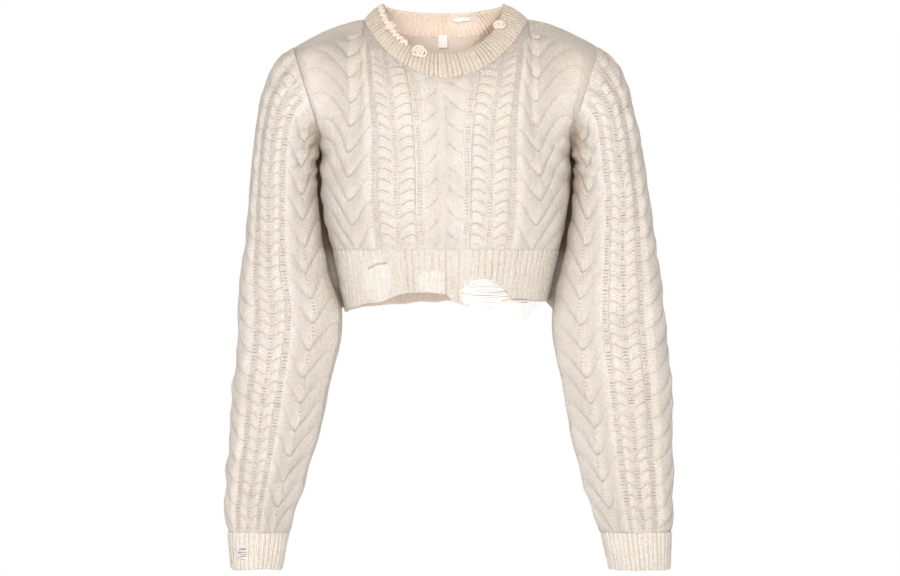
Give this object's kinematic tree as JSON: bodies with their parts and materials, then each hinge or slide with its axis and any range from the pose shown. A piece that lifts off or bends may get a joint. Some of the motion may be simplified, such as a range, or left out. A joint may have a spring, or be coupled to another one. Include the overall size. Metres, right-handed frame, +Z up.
{
  "type": "cropped cable-knit sweater",
  "caption": "Cropped crew-neck cable-knit sweater, filled out and hollow, with long sleeves, ribbed neckband, hem and cuffs, and torn, looping yarn at the edges.",
  "frame": {"origin": "on the garment's centre line at shoulder height, where the wearer's shoulders hold it up", "axes": "+X to the wearer's left, -Y to the front, +Z up, from hem to neck"},
  "size_m": [0.5251, 0.2154, 0.6772],
  "materials": {
    "cable_knit": "soft cream cable knit",
    "rib_knit": "soft cream rib knit",
    "loose_yarn": "pale loose yarn",
    "label": "plain white woven tape"
  },
  "bodies": {
    "root": {"front": "cable_knit", "back": "cable_knit", "sleeve_right": "cable_knit", "sleeve_left": "cable_knit", "neckband_front": "rib_knit", "neckband_back": "rib_knit", "hem_front": "rib_knit", "hem_back": "rib_knit", "cuff_right_front": "rib_knit", "cuff_right_back": "rib_knit", "cuff_left_front": "rib_knit", "cuff_left_back": "rib_knit", "hem_yarn": "loose_yarn", "cuff_yarn": "loose_yarn", "neck_roll_1": "loose_yarn", "neck_roll_2": "loose_yarn", "neck_roll_3": "loose_yarn", "neck_label": "label"}
  },
  "joints": []
}
